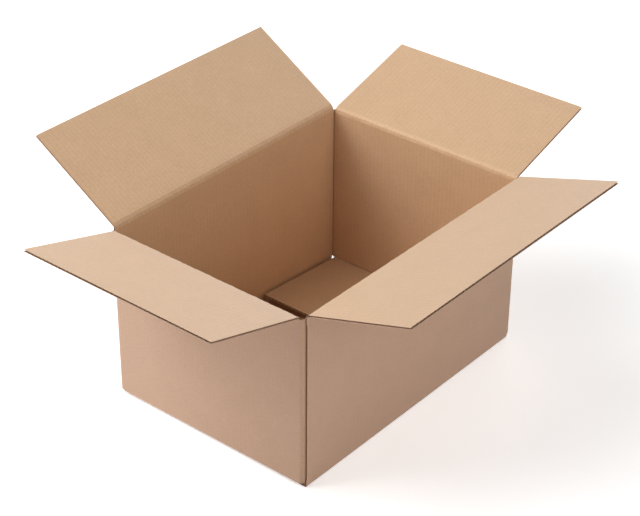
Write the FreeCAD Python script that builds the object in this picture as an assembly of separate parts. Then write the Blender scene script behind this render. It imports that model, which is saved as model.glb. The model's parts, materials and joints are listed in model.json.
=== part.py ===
"""Open cardboard box: a regular slotted carton of single-wall corrugated board, standing open.

One sheet of board is creased, slotted, folded into a tube and glued at one corner. Its four
bottom flaps are folded shut, the two end ones inside the two side ones. Its four top flaps
stand open, each turning on its own crease at the top of a wall.

The frame: +X runs along the length, +Y across the width, +Z up. The origin is the centre of
the standing face, which is the underside of the side bottom flaps. The front side wall, at
-Y, and the left end wall, at -X, meet at the glued corner.
"""
import FreeCAD, Part
import math
import os

V = FreeCAD.Vector

# Inside of the folded carton, in millimetres
inner_length = 420.0
inner_width = 300.0

# Height of the side-flap creases above the standing face
side_crease_height = 243.5

# Single-wall board: two liners with a fluted paper between them
board = 3.0
liner = 0.4
medium = 0.35
flute_pitch = 6.4

# Top flaps: depth from the crease to the free edge, for the ends and for the sides
end_flap_depth = 151.0
side_flap_depth = 151.5

# Bottom flaps: depth of the end ones, and the seam where the side ones meet
end_bottom_depth = 156.0
bottom_seam = 0.3

# Slots between neighbouring flaps: how far in from the walls' insides they set each flap's
# side edges, and how far they run past the end flaps' creases, at the top and at the foot
inset_left_flap = 4.5
inset_right_flap = 1.0
inset_side_flaps = 1.5
inset_end_bottoms = 4.5
top_slot_overrun = 1.0
foot_slot_overrun = 5.0

# The end-flap creases lie one board and this much further in, so that closed flaps nest
layer_gap = 0.3

# Room at each crease between a wall's mitred top and its flap's mitred root
crease_gap = 0.2

# The fluting is crushed flat over this length beside a crease
crushed_length = 8.0

# Outside radii of the vertical corners, the bottom folds and the fold of the glue tab
corner_radius = 3.4
bottom_fold_radius = 2.0
tab_fold_radius = 5.0

# Glue tab inside the front side wall, and the slant of its two ends
tab_width = 38.0
tab_slant = 8.0
edge_setback = 0.5

# The end bottom flaps spring up by this angle, in degrees
bottom_spring = 4.2

# How far each top flap stands open, in degrees outwards from upright
open_left_end = 74.0
open_right_end = 73.5
open_front_side = 72.5
open_back_side = 58.5

# Worked out from the values above
outer_x = inner_length / 2 + board
outer_y = inner_width / 2 + board
left_flap_width = inner_width - 2 * inset_left_flap
right_flap_width = inner_width - 2 * inset_right_flap
side_flap_width = inner_length - 2 * inset_side_flaps
end_bottom_width = inner_width - 2 * inset_end_bottoms
side_bottom_depth = outer_y - bottom_seam / 2
end_crease_drop = board + layer_gap
end_crease_height = side_crease_height - end_crease_drop
slot_floor = end_crease_height - top_slot_overrun
slot_ceiling = end_crease_drop + foot_slot_overrun


def polygon(points):
    """A flat face from corner points."""
    return Part.Face(Part.makePolygon(list(points) + [points[0]]))


def outline(*edges):
    """A flat face from joined edges."""
    return Part.Face(Part.Wire(edges))


def line(a, b):
    return Part.LineSegment(V(*a), V(*b)).toShape()


def arc(a, centre, b):
    """The short arc from a to b about a centre, in one plane."""
    start, middle, end = V(*a), V(*centre), V(*b)
    radius = (start - middle).Length
    towards = (start - middle) + (end - middle)
    return Part.Arc(start, middle + towards.normalize() * radius, end).toShape()


def block(low, high):
    """A box between two corners."""
    size = V(*high) - V(*low)
    return Part.makeBox(size.x, size.y, size.z, V(*low))


def flute_tunnels(width, depth):
    """The hollows of the fluting in an upright flap, open at its free edge.

    The flap's outside is the plane y = 0 and its crease is the X axis. The wave is drawn as a
    zigzag, so that each hollow is three-sided, and they point up and down in turn.
    """
    room = board - 2 * liner
    half_pitch = flute_pitch / 2
    slope = math.atan2(room, half_pitch)
    half_base = half_pitch - medium / 2 / math.sin(slope)
    rise = room - medium / 2 / math.cos(slope)
    count = int((width - 3 * half_pitch) / half_pitch)
    first = -(count - 1) * half_pitch / 2
    tunnels = []
    for index in range(count):
        x = first + index * half_pitch
        base, way = (liner, 1) if index % 2 == 0 else (board - liner, -1)
        section = polygon([V(x - half_base, base, crushed_length),
                           V(x + half_base, base, crushed_length),
                           V(x, base + way * rise, crushed_length)])
        tunnels.append(section.extrude(V(0, 0, depth - crushed_length)))
    return tunnels


def edge_channels(width, depth):
    """The flute that each side edge of a flap lays open, as a groove between the liners."""
    channels = []
    for side in (-1, 1):
        edge = side * width / 2
        root = edge - side * flute_pitch / 4
        section = polygon([V(edge, liner, crushed_length),
                           V(edge, board - liner, crushed_length),
                           V(root, board / 2 + liner, crushed_length),
                           V(root, board / 2 - liner, crushed_length)])
        channels.append(section.extrude(V(0, 0, depth - crushed_length)))
    return channels


def flap(width, depth):
    """An upright flap: outside at y = 0, crease on the X axis, root mitred at 45 degrees."""
    section = polygon([V(-width / 2, 0, crease_gap),
                       V(-width / 2, board, crease_gap + board),
                       V(-width / 2, board, depth),
                       V(-width / 2, 0, depth)])
    plate = section.extrude(V(width, 0, 0))
    return plate.cut(Part.makeCompound(flute_tunnels(width, depth) + edge_channels(width, depth)))


def fold(shape, angle):
    """Turns an upright flap outwards about its crease."""
    turned = shape.copy()
    turned.rotate(V(0, 0, 0), V(1, 0, 0), angle)
    return turned


def seat(shape, wall, height):
    """Moves a flap from its own frame to the crease of the wall that carries it."""
    turn = {"front": 0, "right": 90, "back": 180, "left": 270}[wall]
    reach = outer_y if wall in ("front", "back") else outer_x
    placed = shape.copy()
    placed.translate(V(0, -reach, height))
    placed.rotate(V(0, 0, 0), V(0, 0, 1), turn)
    return placed


def side_top_flap(wall, open_angle):
    """A wide top flap at the angle at which it stands open."""
    return seat(fold(flap(side_flap_width, side_flap_depth), open_angle), wall, side_crease_height)


def end_top_flap(wall, width, open_angle):
    """A narrow top flap at the angle at which it stands open."""
    return seat(fold(flap(width, end_flap_depth), open_angle), wall, end_crease_height)


def wall_tube():
    """The four walls: the board's plan, from its raw edge round to the fold of the glue tab."""
    x, y, r = outer_x, outer_y, corner_radius
    ix, iy = inner_length / 2, inner_width / 2
    fold_x, fold_y = tab_fold_radius - x, tab_fold_radius - iy
    raw_x = fold_x + edge_setback
    plan = outline(
        line((raw_x, -y, 0), (x - r, -y, 0)),
        arc((x - r, -y, 0), (x - r, r - y, 0), (x, r - y, 0)),
        line((x, r - y, 0), (x, y - r, 0)),
        arc((x, y - r, 0), (x - r, y - r, 0), (x - r, y, 0)),
        line((x - r, y, 0), (r - x, y, 0)),
        arc((r - x, y, 0), (r - x, y - r, 0), (-x, y - r, 0)),
        line((-x, y - r, 0), (-x, fold_y, 0)),
        arc((-x, fold_y, 0), (fold_x, fold_y, 0), (fold_x, -iy, 0)),
        line((fold_x, -iy, 0), (fold_x, board - iy, 0)),
        arc((fold_x, board - iy, 0), (fold_x, fold_y, 0), (-ix, fold_y, 0)),
        line((-ix, fold_y, 0), (-ix, iy, 0)),
        line((-ix, iy, 0), (ix, iy, 0)),
        line((ix, iy, 0), (ix, -iy, 0)),
        line((ix, -iy, 0), (raw_x, -iy, 0)),
        line((raw_x, -iy, 0), (raw_x, -y, 0)),
    )
    return plan.extrude(V(0, 0, side_crease_height))


def glue_tab():
    """The tab on the inside of the front side wall, with slanted ends."""
    start = tab_fold_radius - outer_x
    end = start + tab_width
    face = polygon([V(start, -inner_width / 2, slot_ceiling),
                    V(end, -inner_width / 2, slot_ceiling + tab_slant),
                    V(end, -inner_width / 2, slot_floor - tab_slant),
                    V(start, -inner_width / 2, slot_floor)])
    return face.extrude(V(0, board, 0))


def corner_slots():
    """What the slots take out of the tube at its four corners, above and below."""
    slots = []
    for side, top_width in ((-1, left_flap_width), (1, right_flap_width)):
        for across in (-1, 1):
            x = sorted((side * side_flap_width / 2, side * (outer_x + board)))
            top = sorted((across * top_width / 2, across * (outer_y + board)))
            foot = sorted((across * end_bottom_width / 2, across * (outer_y + board)))
            above = side_crease_height + board
            slots.append(block((x[0], top[0], slot_floor), (x[1], top[1], above)))
            slots.append(block((x[0], foot[0], -board), (x[1], foot[1], slot_ceiling)))
    return slots


def mitred_top(wall, width, height):
    """What is cut from a wall's top, so that its flap can close: a 45 degree mitre."""
    reach = 2 * board
    section = polygon([V(-width / 2, -reach, height - crease_gap + reach),
                       V(-width / 2, 2 * reach, height - crease_gap - 2 * reach),
                       V(-width / 2, 2 * reach, side_crease_height + reach + board),
                       V(-width / 2, -reach, side_crease_height + reach + board)])
    return seat(section.extrude(V(width, 0, 0)), wall, 0)


def below_end_folds():
    """What the end walls lack below the folds of their bottom flaps."""
    depth = board + bottom_fold_radius
    cuts = []
    for side in (-1, 1):
        x = sorted((side * (outer_x + board), side * (outer_x - depth)))
        y = end_bottom_width / 2
        cuts.append(block((x[0], -y, -board), (x[1], y, end_crease_drop + bottom_fold_radius)))
    return cuts


def below_side_folds():
    """What the side walls lack below the folds of their bottom flaps."""
    cuts = []
    for side in (-1, 1):
        y = sorted((side * (outer_y + board), side * (inner_width / 2 - board)))
        x = side_flap_width / 2
        cuts.append(block((-x, y[0], -board), (x, y[1], bottom_fold_radius)))
    return cuts


def bottom_flap(wall, width, depth, height, spring):
    """A bottom flap folded shut and sprung up by an angle, with the turn at its wall's foot."""
    r, x = bottom_fold_radius, -width / 2
    lift = math.radians(spring)
    along, normal = V(0, math.cos(lift), math.sin(lift)), V(0, -math.sin(lift), math.cos(lift))
    centre = V(x, r, r)
    under_root = centre - normal * r
    under_tip = under_root + along * (depth - r)
    top_tip = under_tip + normal * board
    top_root = under_root + normal * board
    corner = top_root + along * ((board - top_root.y) / along.y)
    section = outline(
        line((x, 0, r), (x, board, r)),
        line((x, board, r), corner),
        line(corner, top_tip),
        line(top_tip, under_tip),
        line(under_tip, under_root),
        arc(under_root, centre, (x, 0, r)),
    )
    hollows = Part.makeCompound(flute_tunnels(width, depth) + edge_channels(width, depth))
    hollows.rotate(V(0, 0, 0), V(1, 0, 0), spring - 90)
    hollows.translate(V(0, under_root.y, under_root.z) - along * r + normal * board)
    return seat(section.extrude(V(width, 0, 0)).cut(hollows), wall, height)


def carton_body():
    """Walls, glue tab and closed bottom flaps: the folded and glued sheet."""
    tube = wall_tube().fuse(glue_tab())
    cuts = corner_slots() + below_end_folds() + below_side_folds()
    cuts.append(mitred_top("left", left_flap_width, end_crease_height))
    cuts.append(mitred_top("right", right_flap_width, end_crease_height))
    cuts += [mitred_top(wall, side_flap_width, side_crease_height) for wall in ("front", "back")]
    tube = tube.cut(cuts)
    flaps = [bottom_flap(wall, side_flap_width, side_bottom_depth, 0, 0)
             for wall in ("front", "back")]
    flaps += [bottom_flap(wall, end_bottom_width, end_bottom_depth, end_crease_drop, bottom_spring)
              for wall in ("left", "right")]
    return tube.fuse(flaps).removeSplitter()


def main():
    nodes = {
        "carton_body": carton_body(),
        "left_end_flap": end_top_flap("left", left_flap_width, open_left_end),
        "right_end_flap": end_top_flap("right", right_flap_width, open_right_end),
        "front_side_flap": side_top_flap("front", open_front_side),
        "back_side_flap": side_top_flap("back", open_back_side),
    }
    os.makedirs("parts", exist_ok=True)
    for name, shape in nodes.items():
        solids = shape.Solids
        print(name, "solids", len(solids), "valid", shape.isValid(), "faces", len(shape.Faces),
              "volume_cm3", round(shape.Volume / 1000, 1))
        shape.exportStep("parts/" + name + ".step")


main()
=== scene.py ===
"""An open cardboard box, standing on a pale floor with its four top flaps open.

The real box is one sheet of corrugated board, so the script works as the carton maker does: the
sheet is made flat and then folded. Flat places are in millimetres: along the walls, up the
flutes, and through the board from its outside to its inside. Finished meshes are in metres.
"""
import json
import math

import bpy
import numpy as np
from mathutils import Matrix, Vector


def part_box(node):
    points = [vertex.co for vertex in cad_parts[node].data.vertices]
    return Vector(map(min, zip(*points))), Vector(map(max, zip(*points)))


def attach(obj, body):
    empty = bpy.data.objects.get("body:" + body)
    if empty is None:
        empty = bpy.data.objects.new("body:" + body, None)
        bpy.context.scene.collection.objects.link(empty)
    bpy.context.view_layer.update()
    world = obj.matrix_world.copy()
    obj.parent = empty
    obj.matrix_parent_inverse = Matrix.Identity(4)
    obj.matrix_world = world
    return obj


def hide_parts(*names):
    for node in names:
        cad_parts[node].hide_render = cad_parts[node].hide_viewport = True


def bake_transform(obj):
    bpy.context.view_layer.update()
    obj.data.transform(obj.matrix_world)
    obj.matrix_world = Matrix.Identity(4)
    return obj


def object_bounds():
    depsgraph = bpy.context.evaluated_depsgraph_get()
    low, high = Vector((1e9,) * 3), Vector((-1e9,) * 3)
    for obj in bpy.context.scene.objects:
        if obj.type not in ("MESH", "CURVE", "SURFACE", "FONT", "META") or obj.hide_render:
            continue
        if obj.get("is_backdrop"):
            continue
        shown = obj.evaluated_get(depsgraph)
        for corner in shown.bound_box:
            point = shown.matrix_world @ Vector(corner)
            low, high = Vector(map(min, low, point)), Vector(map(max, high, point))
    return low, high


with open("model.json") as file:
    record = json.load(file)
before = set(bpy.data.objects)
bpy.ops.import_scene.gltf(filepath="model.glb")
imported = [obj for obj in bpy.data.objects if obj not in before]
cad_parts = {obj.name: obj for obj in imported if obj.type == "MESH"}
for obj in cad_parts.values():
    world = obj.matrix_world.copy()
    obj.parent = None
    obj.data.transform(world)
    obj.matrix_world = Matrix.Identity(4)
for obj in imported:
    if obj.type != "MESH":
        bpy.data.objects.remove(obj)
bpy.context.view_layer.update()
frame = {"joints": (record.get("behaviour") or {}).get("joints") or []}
MM = 0.001

# The papers of the board: unbleached kraft, uncoated, with a soft shine and a pale bloom at low
# angles. Brown fibres lie along the walls, with pale and dark flecks, and the flutes show through
# as faint stripes, which a carton maker calls washboarding, fainter outside.
FLUTE_PITCH = 6.4
FIBRE_LENGTH = 9.0
FIBRE_WIDTH = 1.4
FIBRE_DETAIL = 2.0
FIBRE_WEIGHT = 0.65
FLECK_SIZE = 2.4
FLECK_DETAIL = 1.0
FLECK_WEIGHT = 0.65
CLOUD_SIZE = 34.0
CLOUD_DETAIL = 3.0
CLOUD_WEIGHT = 0.40
TONE_START = -0.35
STRIPE_RELIEF = 6.0
PAPER_RELIEF = 0.06
PAPER_ROUGHNESS = 0.5
PAPER_SHINE = 0.5
PAPER_BLOOM = 0.5
BLOOM_ROUGHNESS = 0.5
OUTSIDE_PALE, OUTSIDE_DARK, OUTSIDE_STRIPES = "#DBB090", "#BF9676", 0.025
INSIDE_PALE, INSIDE_DARK, INSIDE_STRIPES = "#DCB58D", "#C29B73", 0.06
FLUTING_PALE, FLUTING_DARK = "#A98260", "#936E50"


def linear(colour):
    """An sRGB hex colour as linear light."""
    parts = [int(colour[place:place + 2], 16) / 255 for place in (1, 3, 5)]
    return [p / 12.92 if p <= 0.04045 else ((p + 0.055) / 1.055) ** 2.4 for p in parts] + [1.0]


def add_node(tree, kind, settings=None, inputs=None):
    """Adds a node with its settings, and sets or links its inputs."""
    node = tree.nodes.new(kind)
    for name, value in (settings or {}).items():
        setattr(node, name, value)
    for name, value in (inputs or {}).items():
        if isinstance(value, bpy.types.NodeSocket):
            tree.links.new(value, node.inputs[name])
        else:
            node.inputs[name].default_value = value
    return node


def kraft_paper(name, pale, dark, washboard):
    """Kraft paper: streaks, flecks, clouds and washboarding, from the place on the flat sheet."""
    material = bpy.data.materials.new(name)
    material.use_nodes = True
    tree = material.node_tree
    tree.nodes.clear()
    sheet = add_node(tree, "ShaderNodeAttribute", {"attribute_name": "sheet"}).outputs["Vector"]
    across = (1 / FIBRE_LENGTH, 1 / FIBRE_WIDTH, 1 / FIBRE_WIDTH)
    fibre_place = add_node(tree, "ShaderNodeMapping", {}, {"Vector": sheet, "Scale": across})
    fibres = add_node(tree, "ShaderNodeTexNoise", {},
                      {"Vector": fibre_place.outputs[0], "Scale": 1.0, "Detail": FIBRE_DETAIL})
    flecks = add_node(tree, "ShaderNodeTexNoise", {},
                      {"Vector": sheet, "Scale": 1 / FLECK_SIZE, "Detail": FLECK_DETAIL})
    clouds = add_node(tree, "ShaderNodeTexNoise", {},
                      {"Vector": sheet, "Scale": 1 / CLOUD_SIZE, "Detail": CLOUD_DETAIL})
    along = add_node(tree, "ShaderNodeSeparateXYZ", {}, {"Vector": sheet}).outputs["X"]
    turns = add_node(tree, "ShaderNodeMath", {"operation": "MULTIPLY"},
                     {0: along, 1: 2 * math.pi / FLUTE_PITCH})
    stripes = add_node(tree, "ShaderNodeMath", {"operation": "SINE"}, {0: turns.outputs[0]})
    tone = TONE_START
    for part, weight in ((fibres.outputs["Fac"], FIBRE_WEIGHT),
                         (flecks.outputs["Fac"], FLECK_WEIGHT),
                         (clouds.outputs["Fac"], CLOUD_WEIGHT),
                         (stripes.outputs[0], washboard)):
        tone = add_node(tree, "ShaderNodeMath", {"operation": "MULTIPLY_ADD"},
                        {0: part, 1: weight, 2: tone}).outputs[0]
    colour = add_node(tree, "ShaderNodeMix", {"data_type": "RGBA"},
                      {0: tone, 6: linear(dark), 7: linear(pale)})
    height = add_node(tree, "ShaderNodeMath", {"operation": "MULTIPLY_ADD"},
                      {0: stripes.outputs[0], 1: STRIPE_RELIEF * washboard,
                       2: fibres.outputs["Fac"]})
    relief = add_node(tree, "ShaderNodeBump", {},
                      {"Height": height.outputs[0], "Distance": PAPER_RELIEF * MM,
                       "Strength": 1.0})
    surface = add_node(tree, "ShaderNodeBsdfPrincipled", {},
                       {"Base Color": colour.outputs[2], "Roughness": PAPER_ROUGHNESS,
                        "Specular IOR Level": PAPER_SHINE, "Sheen Weight": PAPER_BLOOM,
                        "Sheen Roughness": BLOOM_ROUGHNESS, "Normal": relief.outputs[0]})
    add_node(tree, "ShaderNodeOutputMaterial", {}, {"Surface": surface.outputs[0]})
    return material


outer_liner = kraft_paper("outer_kraft_liner", OUTSIDE_PALE, OUTSIDE_DARK, OUTSIDE_STRIPES)
inner_liner = kraft_paper("inner_kraft_liner", INSIDE_PALE, INSIDE_DARK, INSIDE_STRIPES)
fluting_paper = kraft_paper("fluting_paper", FLUTING_PALE, FLUTING_DARK, 0.0)
papers = [outer_liner, inner_liner, fluting_paper]

# The board: two flat liners glued to the crests of a wavy paper between them. It is made here as
# flat panels, each of three closed sheets of paper. Where a cut runs along the flutes, the wavy
# paper lies a little behind the liners.
BOARD = 3.0
LINER = 0.4
FLUTING = 0.35
FLUTING_SETBACK = 1.2
STEPS_A_FLUTE = 6


def paper_sheet(along, up, outside, inside):
    """A flat closed sheet of paper between two depths, as vertices and four-sided faces."""
    a, u = np.meshgrid(along, up, indexing="ij")
    count = a.size
    layers = [np.stack((a, u, np.full_like(a, depth)), axis=-1).reshape(-1, 3)
              for depth in (outside, inside)]
    index = np.arange(count).reshape(a.shape)
    corners = (index[:-1, :-1], index[1:, :-1], index[1:, 1:], index[:-1, 1:])
    cells = np.stack(corners, axis=-1).reshape(-1, 4)
    rim = np.concatenate((index[:, 0], index[-1, 1:], index[-2::-1, -1], index[0, -2:0:-1]))
    after = np.roll(rim, -1)
    sides = np.stack((rim, after, after + count, rim + count), axis=-1)
    return np.concatenate(layers), np.concatenate((cells[:, ::-1], cells + count, sides))


def fluting_tree():
    """Geometry nodes for the wavy paper: a closed sheet whose rows are one unit apart."""
    tree = bpy.data.node_groups.new("wavy_paper", "GeometryNodeTree")
    for name, kind in (("Width", "Float"), ("Centre", "Float"), ("Rows", "Int"),
                       ("Pitch", "Float"), ("Height", "Float"), ("Paper", "Float"),
                       ("Steps", "Int"), ("Material", "Material")):
        tree.interface.new_socket(name, in_out="INPUT", socket_type="NodeSocket" + kind)
    tree.interface.new_socket("Sheet", in_out="OUTPUT", socket_type="NodeSocketGeometry")
    given = add_node(tree, "NodeGroupInput").outputs

    def calculate(operation, first, second=0.0):
        settings = {"operation": operation}
        return add_node(tree, "ShaderNodeMath", settings, {0: first, 1: second}).outputs[0]

    flutes = calculate("DIVIDE", given["Width"], given["Pitch"])
    columns = calculate("CEIL", calculate("MULTIPLY", flutes, given["Steps"]))
    grid = add_node(tree, "GeometryNodeMeshGrid", {}, {
        "Size X": given["Width"], "Size Y": given["Rows"],
        "Vertices X": calculate("ADD", columns, 1.0),
        "Vertices Y": calculate("ADD", given["Rows"], 1.0)})
    place = add_node(tree, "GeometryNodeInputPosition").outputs[0]
    across = add_node(tree, "ShaderNodeSeparateXYZ", {}, {0: place}).outputs["X"]
    along = calculate("ADD", across, given["Centre"])
    turn = calculate("MULTIPLY", calculate("DIVIDE", along, given["Pitch"]), 2 * math.pi)
    swing = calculate("MULTIPLY", calculate("SUBTRACT", given["Height"], given["Paper"]), 0.5)
    wave = calculate("MULTIPLY", calculate("SINE", turn), swing)
    under = calculate("SUBTRACT", wave, calculate("MULTIPLY", given["Paper"], 0.5))
    offset = add_node(tree, "ShaderNodeCombineXYZ", {}, {"X": given["Centre"], "Z": under})
    lower = add_node(tree, "GeometryNodeSetPosition", {},
                     {"Geometry": grid.outputs["Mesh"], "Offset": offset.outputs[0]})
    thickness = add_node(tree, "ShaderNodeCombineXYZ", {}, {"Z": given["Paper"]})
    raised = add_node(tree, "GeometryNodeExtrudeMesh", {"mode": "FACES"},
                      {"Mesh": lower.outputs[0], "Offset": thickness.outputs[0],
                       "Individual": False})
    turned = add_node(tree, "GeometryNodeFlipFaces", {}, {0: lower.outputs[0]})
    both = add_node(tree, "GeometryNodeJoinGeometry", {}, {0: raised.outputs["Mesh"]})
    tree.links.new(turned.outputs[0], both.inputs[0])
    closed = add_node(tree, "GeometryNodeMergeByDistance", {}, {0: both.outputs[0]})
    plain = add_node(tree, "GeometryNodeRealizeInstances", {}, {0: closed.outputs[0]})
    papered = add_node(tree, "GeometryNodeSetMaterial", {},
                       {"Geometry": plain.outputs[0], "Material": given["Material"]})
    add_node(tree, "NodeGroupOutput", {}, {0: papered.outputs[0]})
    return tree


wavy_paper = fluting_tree()


def fluting_sheet(along, up):
    """The wavy paper of a flat panel, as vertices and four-sided faces."""
    rows = len(up) - 1
    width = along[-1] - along[0] - 2 * FLUTING_SETBACK
    sizes = {"Width": width, "Centre": (along[0] + along[-1]) / 2, "Rows": rows,
             "Pitch": FLUTE_PITCH, "Height": BOARD - 2 * LINER, "Paper": FLUTING,
             "Steps": STEPS_A_FLUTE, "Material": fluting_paper}
    holder = bpy.data.objects.new("fluting", bpy.data.meshes.new("fluting"))
    bpy.context.scene.collection.objects.link(holder)
    modifier = holder.modifiers.new("wavy_paper", "NODES")
    modifier.node_group = wavy_paper
    for item in wavy_paper.interface.items_tree:
        if item.in_out == "INPUT":
            modifier[item.identifier] = sizes[item.name]
    made = holder.evaluated_get(bpy.context.evaluated_depsgraph_get())
    mesh = bpy.data.meshes.new_from_object(made)
    places = np.empty(len(mesh.vertices) * 3)
    mesh.vertices.foreach_get("co", places)
    places = places.reshape(-1, 3)
    faces = np.empty(len(mesh.loops), int)
    mesh.loops.foreach_get("vertex_index", faces)
    places[:, 1] = np.interp(places[:, 1] + rows / 2, np.arange(rows + 1), up)
    places[:, 2] += BOARD / 2
    bpy.data.objects.remove(holder)
    return places, faces.reshape(-1, 4)


def flat_panel(along, up):
    """The three papers of a flat panel of board, in the order of the list of papers."""
    return [paper_sheet(along, up, 0.0, LINER),
            paper_sheet(along, up, BOARD - LINER, BOARD),
            fluting_sheet(along, up)]


# The folds. A rule crushes the board along each crease, so that it turns there and nowhere else.
# A bend is the flat distance where it starts, its angle, positive towards the inside of the box,
# the radius of the board's outer face, and the share of the board's thickness that is lost.
CRUSH_REACH = 3.6
CRUSH_UNEVEN = 0.3
UNEVEN_LENGTHS = (41.0, 17.3, 9.1)
LINES_A_BEND = 13
CLOSEST_LINES = 0.2
SHARP_EDGE = math.radians(40)


def folded_line(distance, depth, start, heading, bends):
    """Two places of a strip seen on edge, folded at its bends; its inside is on the left."""
    first = np.full(len(distance), float(start[0]))
    second = np.full(len(distance), float(start[1]))
    turned = np.full(len(distance), float(heading))
    begin, reached = -np.inf, 0.0
    for where, angle, radius, _ in bends:
        straight = np.clip(distance, begin, where) - reached
        first += straight * math.cos(heading)
        second += straight * math.sin(heading)
        rate = math.copysign(1 / radius, angle)
        bent = rate * np.clip(distance - where, 0, abs(angle) * radius)
        first += (np.sin(heading + bent) - math.sin(heading)) / rate
        second -= (np.cos(heading + bent) - math.cos(heading)) / rate
        turned += bent
        heading += angle
        reached = begin = where + abs(angle) * radius
    straight = np.clip(distance, begin, np.inf) - reached
    first += straight * math.cos(heading) - depth * np.sin(turned)
    second += straight * math.sin(heading) + depth * np.cos(turned)
    return first, second


def crushed(distance, depth, bends, crease_place):
    """Depths in the board, less where a crease has crushed it, and unevenly along the crease."""
    uneven = sum(np.sin(2 * math.pi * crease_place / length) for length in UNEVEN_LENGTHS)
    for where, angle, radius, crush in bends:
        middle = where + abs(angle) * radius / 2
        near = np.clip(1 - ((distance - middle) / CRUSH_REACH) ** 2, 0, 1)
        lost = crush * (1 + CRUSH_UNEVEN * uneven / len(UNEVEN_LENGTHS))
        depth = depth * (1 - lost * near ** 2)
    return depth


def panel_lines(low, high, bends, step):
    """Where the lines of a panel's mesh lie: evenly, and close together round its bends."""
    places = [np.linspace(low, high, 1 + math.ceil((high - low) / step))]
    for where, angle, radius, _ in bends:
        half = abs(angle) * radius / 2
        reach = max(half, CRUSH_REACH)
        places.append(where + half + np.linspace(-reach, reach, LINES_A_BEND))
    places = np.unique(np.clip(np.concatenate(places), low, high))
    places = places[np.append(np.diff(places) > CLOSEST_LINES, True)]
    places[0] = low
    return places


def board_object(name, panels):
    """One mesh of folded panels; the flat place of each vertex is kept for the paper's grain."""
    flat, folded, faces, kinds, count = [], [], [], [], 0
    for sheets, fold in panels:
        for kind, (places, quads) in enumerate(sheets):
            flat.append(places)
            folded.append(fold(places) * MM)
            faces.append(quads[:, ::-1] + count)
            kinds.append(np.full(len(quads), kind))
            count += len(places)
    mesh = bpy.data.meshes.new(name)
    mesh.from_pydata(np.concatenate(folded), [], np.concatenate(faces))
    mesh.attributes.new("sheet", "FLOAT_VECTOR", "POINT")
    mesh.attributes["sheet"].data.foreach_set("vector", np.concatenate(flat).ravel())
    for paper in papers:
        mesh.materials.append(paper)
    mesh.polygons.foreach_set("material_index", np.concatenate(kinds))
    mesh.shade_smooth()
    mesh.set_sharp_from_angle(angle=SHARP_EDGE)
    piece = bpy.data.objects.new(name, mesh)
    bpy.context.scene.collection.objects.link(piece)
    return piece


# The four walls and the glue tab: the sheet goes round from its raw edge, at the left end of the
# front wall, over four creases to the tab, which is glued behind that edge. Between neighbouring
# flaps, at the top and at the foot, the walls go on round each corner as far as the slot.
carton_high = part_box("carton_body")[1]
HALF_LENGTH = carton_high.x / MM
HALF_WIDTH = carton_high.y / MM
CORNER_RADIUS = 3.4
CORNER_CRUSH = 0.6
TAB_RADIUS = 5.0
TAB_WIDTH = 38.0
TAB_SLANT = 8.0
EDGE_SETBACK = 0.5
SLOT_OVERRUN = 1.0
FOOT_OVERRUN = 2.5
STRIP_OVERRUN = 7.0
END_BOTTOM_WIDTH = 291.0
CELL = 26.0
quarter = math.pi / 2
raw_edge = TAB_RADIUS - HALF_LENGTH + EDGE_SETBACK
creases = {joint["child"]: joint for joint in frame["joints"]}
end_crease = creases["left_flap"]["pos_m"][2] / MM
side_crease = creases["front_flap"]["pos_m"][2] / MM
slot_floor = end_crease - SLOT_OVERRUN
strip_base = end_crease - STRIP_OVERRUN
slot_ceiling = side_crease - end_crease + FOOT_OVERRUN
foot_base = side_crease - end_crease + STRIP_OVERRUN
side_run, end_run = HALF_LENGTH - CORNER_RADIUS, HALF_WIDTH - CORNER_RADIUS
centres, corners, reached = {}, [], 0.0
for wall, before, after, radius in (
        ("front", -raw_edge, side_run, CORNER_RADIUS),
        ("right", end_run, end_run, CORNER_RADIUS),
        ("back", side_run, side_run, CORNER_RADIUS),
        ("left", end_run, HALF_WIDTH - BOARD - TAB_RADIUS, TAB_RADIUS)):
    centres[wall] = reached + before
    reached += before + after
    corners.append((reached, quarter, radius, CORNER_CRUSH))
    reached += radius * quarter
tab_start = reached


def fold_walls(flat):
    """Folds the flat strip of walls into a tube and cuts the slanted ends of its tab."""
    along, up, depth = flat.T
    middle = (slot_floor + slot_ceiling) / 2
    taper = 2 * TAB_SLANT / (slot_floor - slot_ceiling)
    into_tab = np.clip((along - tab_start) / TAB_WIDTH, 0, 1)
    depth = crushed(along, depth, corners, up)
    x, y = folded_line(along, depth, (raw_edge, -HALF_WIDTH), 0.0, corners)
    return np.stack((x, y, middle + (up - middle) * (1 - taper * into_tab)), axis=-1)


wall_lines = panel_lines(0.0, tab_start + TAB_WIDTH, corners, CELL)
height_lines = panel_lines(foot_base, strip_base, [], CELL)
carton_panels = [(flat_panel(wall_lines, height_lines), fold_walls)]
flap_widths = {wall: 2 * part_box(wall + "_side_flap")[1].x / MM for wall in ("front", "back")}
foot_widths = dict(flap_widths, left=END_BOTTOM_WIDTH, right=END_BOTTOM_WIDTH)
for wall in ("left", "right"):
    flap_widths[wall] = 2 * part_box(wall + "_end_flap")[1].y / MM
for wall, following in (("front", "right"), ("right", "back"), ("back", "left"), ("left", None)):
    for widths, heights in ((flap_widths, (strip_base, slot_floor)),
                            (foot_widths, (slot_ceiling, foot_base))):
        low, high = centres[wall] + widths[wall] / 2, tab_start
        if following:
            high = centres[following] - widths[following] / 2
        corner = flat_panel(panel_lines(low, high, corners, CELL), np.array(heights))
        carton_panels.append((corner, fold_walls))


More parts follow.
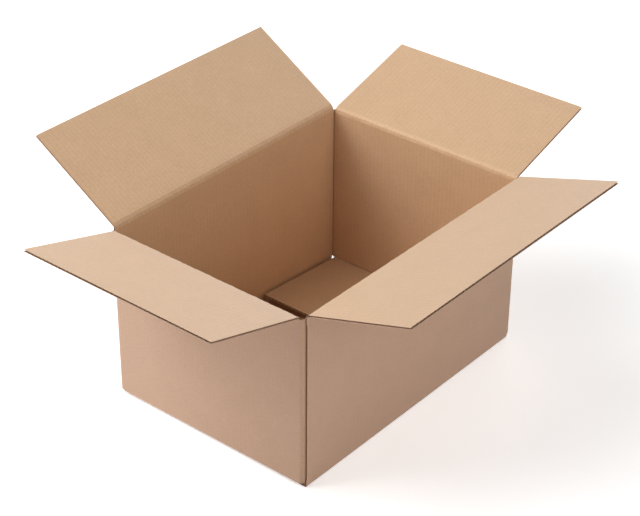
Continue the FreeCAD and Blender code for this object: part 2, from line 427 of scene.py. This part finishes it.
def flap_fold(wall, way, base, bend):
    """The fold of a flap that starts at a height of its wall and goes up (1) or down (-1)."""
    turn = {"front": 0.0, "right": 1.0, "back": 2.0, "left": 3.0}[wall] * quarter
    reach = HALF_WIDTH if wall in ("front", "back") else HALF_LENGTH

    def fold(flat):
        along, up, depth = flat.T
        gone = way * (up - base)
        depth = crushed(gone, depth, [bend], along)
        inward, fall = folded_line(gone, depth, (0, 0), -quarter, [bend])
        beside, inward = along - centres[wall], inward - reach
        return np.stack((beside * math.cos(turn) - inward * math.sin(turn),
                         beside * math.sin(turn) + inward * math.cos(turn),
                         base - way * fall), axis=-1)

    return fold


def folded_flap(wall, way, base, bend, width, beyond, cell):
    """A flap's panel of board and its fold; beyond is its flat length past the bend."""
    where, angle, radius, _ = bend
    tip = where + abs(angle) * radius + beyond
    steps = panel_lines(0.0, tip, [bend], CELL)
    along = np.linspace(-width / 2, width / 2, 1 + math.ceil(width / cell)) + centres[wall]
    up = base + steps if way > 0 else base - steps[::-1]
    return flat_panel(along, up), flap_fold(wall, way, base, bend)


# The bottom flaps, folded shut at the feet of the walls: the two at the ends first, which spring
# up a little, and under them the two at the sides, which meet in the middle.
FOOT_RADIUS = 2.0
FOOT_CRUSH = 0.45
BOTTOM_SPRING = math.radians(4.2)
END_BOTTOM_DEPTH = 156.0
BOTTOM_SEAM = 0.3
for wall in ("front", "back"):
    bend = (foot_base - FOOT_RADIUS, quarter, FOOT_RADIUS, FOOT_CRUSH)
    beyond = HALF_WIDTH - BOTTOM_SEAM / 2 - FOOT_RADIUS
    panel = folded_flap(wall, -1, foot_base, bend, foot_widths[wall], beyond, CELL)
    carton_panels.append(panel)
for wall in ("left", "right"):
    foot = side_crease - end_crease + FOOT_RADIUS
    bend = (foot_base - foot, quarter + BOTTOM_SPRING, FOOT_RADIUS, FOOT_CRUSH)
    beyond = END_BOTTOM_DEPTH - FOOT_RADIUS
    panel = folded_flap(wall, -1, foot_base, bend, foot_widths[wall], beyond, CELL)
    carton_panels.append(panel)
carton = board_object("folded_carton", carton_panels)
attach(carton, "carton")
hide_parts("carton_body")

# The top flaps, which stand open. Each is the rest of a wall above its slots, turned outwards at
# its crease. The creases at the sides are rounder than those at the ends.
CREASE_CELL = 2.2
for wall, node, radius, crush in (("left", "left_end_flap", 1.2, 0.4),
                                  ("right", "right_end_flap", 1.2, 0.3),
                                  ("front", "front_side_flap", 3.0, 0.45),
                                  ("back", "back_side_flap", 1.8, 0.35)):
    body = wall + "_flap"
    hinge = np.array(creases[body]["pos_m"]) / MM
    opened = math.radians(-creases[body]["range_deg"][0] - 90)
    outward = hinge * (1, 1, 0) / np.linalg.norm(hinge[:2])
    tip = np.abs(np.array(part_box(node))).max(axis=0) / MM
    reach = tip @ np.abs(outward) - abs(hinge @ outward)
    before = radius * math.tan(opened / 2)
    bend = (hinge[2] - strip_base - before, -opened, radius, crush)
    beyond = reach / math.sin(opened) - before
    panel = folded_flap(wall, 1, strip_base, bend, flap_widths[wall], beyond, CREASE_CELL)
    flap = board_object(body + "_board", [panel])
    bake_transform(flap)
    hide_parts(node)

# The pale floor. To the camera it is white, with a glow that stands for the studio's white walls.
# What it throws back on the box is what a pale grey floor would.
FLOOR_SIZE = 12.0
FLOOR_GLOW = 0.45
FLOOR_DROP = 0.2 * MM
FLOOR_BOUNCE = "#E6E6E6"
WHITE = (1.0, 1.0, 1.0, 1.0)


def seen_rays(tree):
    """One for the rays in which something is seen: straight, mirrored or through glass."""
    rays = add_node(tree, "ShaderNodeLightPath").outputs
    some = add_node(tree, "ShaderNodeMath", {"operation": "MAXIMUM"},
                    {0: rays["Is Camera Ray"], 1: rays["Is Glossy Ray"]})
    return add_node(tree, "ShaderNodeMath", {"operation": "MAXIMUM"},
                    {0: some.outputs[0], 1: rays["Is Transmission Ray"]}).outputs[0]


floor_mesh = bpy.data.meshes.new("floor")
half = FLOOR_SIZE / 2
floor_mesh.from_pydata([(-half, -half, -FLOOR_DROP), (half, -half, -FLOOR_DROP),
                        (half, half, -FLOOR_DROP), (-half, half, -FLOOR_DROP)], [], [(0, 1, 2, 3)])
floor = bpy.data.objects.new("floor", floor_mesh)
bpy.context.scene.collection.objects.link(floor)
floor_paint = bpy.data.materials.new("matt_white_floor")
floor_paint.use_nodes = True
tree = floor_paint.node_tree
tree.nodes.clear()
white = add_node(tree, "ShaderNodeBsdfDiffuse", {}, {"Color": WHITE})
glow = add_node(tree, "ShaderNodeEmission", {}, {"Color": WHITE, "Strength": FLOOR_GLOW})
seen = add_node(tree, "ShaderNodeAddShader", {}, {0: white.outputs[0], 1: glow.outputs[0]})
bounced = add_node(tree, "ShaderNodeBsdfDiffuse", {}, {"Color": linear(FLOOR_BOUNCE)})
floor_mix = add_node(tree, "ShaderNodeMixShader", {},
                     {0: seen_rays(tree), 1: bounced.outputs[0], 2: seen.outputs[0]})
add_node(tree, "ShaderNodeOutputMaterial", {}, {"Surface": floor_mix.outputs[0]})
floor_mesh.materials.append(floor_paint)
floor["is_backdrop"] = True

# The light: an almost dark room with a white backdrop and four soft boxes, each with its azimuth
# and height in degrees and its power in watts. The main two stand one above the other beyond the
# back left corner, and the weaker two brighten the sides that face away from them.
ROOM_LIGHT = 0.02
BOX_SIZE = 1.8
BOX_DISTANCE = 2.5
SOFT_BOXES = {
    "low_main_soft_box": (129, 35, 36.5),
    "high_main_soft_box": (129, 60, 31.5),
    "front_soft_box": (264, 30, 23.5),
    "right_soft_box": (10, 30, 14.5),
}
world = bpy.data.worlds.new("studio")
bpy.context.scene.world = world
world.use_nodes = True
tree = world.node_tree
tree.nodes.clear()
room = add_node(tree, "ShaderNodeBackground", {}, {"Color": WHITE, "Strength": ROOM_LIGHT})
backdrop = add_node(tree, "ShaderNodeBackground", {}, {"Color": WHITE, "Strength": 1.0})
world_mix = add_node(tree, "ShaderNodeMixShader", {},
                     {0: seen_rays(tree), 1: room.outputs[0], 2: backdrop.outputs[0]})
add_node(tree, "ShaderNodeOutputWorld", {}, {"Surface": world_mix.outputs[0]})
for name, (azimuth, height, power) in SOFT_BOXES.items():
    light = bpy.data.lights.new(name, "AREA")
    light.size = BOX_SIZE
    light.energy = power
    lamp = bpy.data.objects.new(name, light)
    bpy.context.scene.collection.objects.link(lamp)
    azimuth, height = math.radians(azimuth), math.radians(height)
    lamp.location = (BOX_DISTANCE * math.cos(azimuth) * math.cos(height),
                     BOX_DISTANCE * math.sin(azimuth) * math.cos(height),
                     BOX_DISTANCE * math.sin(height))
    lamp.rotation_euler = (quarter - height, 0, azimuth + quarter)
bpy.context.scene.view_settings.view_transform = "Standard"

# The camera, from a fit of the box's corners and creases in the photograph: its place in metres,
# its angles in degrees, and its focal length in pixels of a picture 640 pixels wide.
CAMERA_PLACE = (-1.52046, -1.25095, 1.38246)
CAMERA_AZIMUTH = 39.4552
CAMERA_DROP = 31.7955
CAMERA_ROLL = 0.4367
SENSOR = 36.0
FOCAL_PIXELS = 1831.67
IMAGE_WIDTH = 640
camera_data = bpy.data.cameras.new("camera")
camera_data.sensor_width = SENSOR
camera_data.lens = SENSOR * FOCAL_PIXELS / IMAGE_WIDTH
camera = bpy.data.objects.new("camera", camera_data)
bpy.context.scene.collection.objects.link(camera)
camera.location = CAMERA_PLACE
camera.rotation_euler = (quarter - math.radians(CAMERA_DROP), 0,
                         math.radians(CAMERA_AZIMUTH) - quarter)
camera.rotation_euler.rotate_axis("Z", math.radians(CAMERA_ROLL))
bpy.context.scene.camera = camera

low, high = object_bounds()
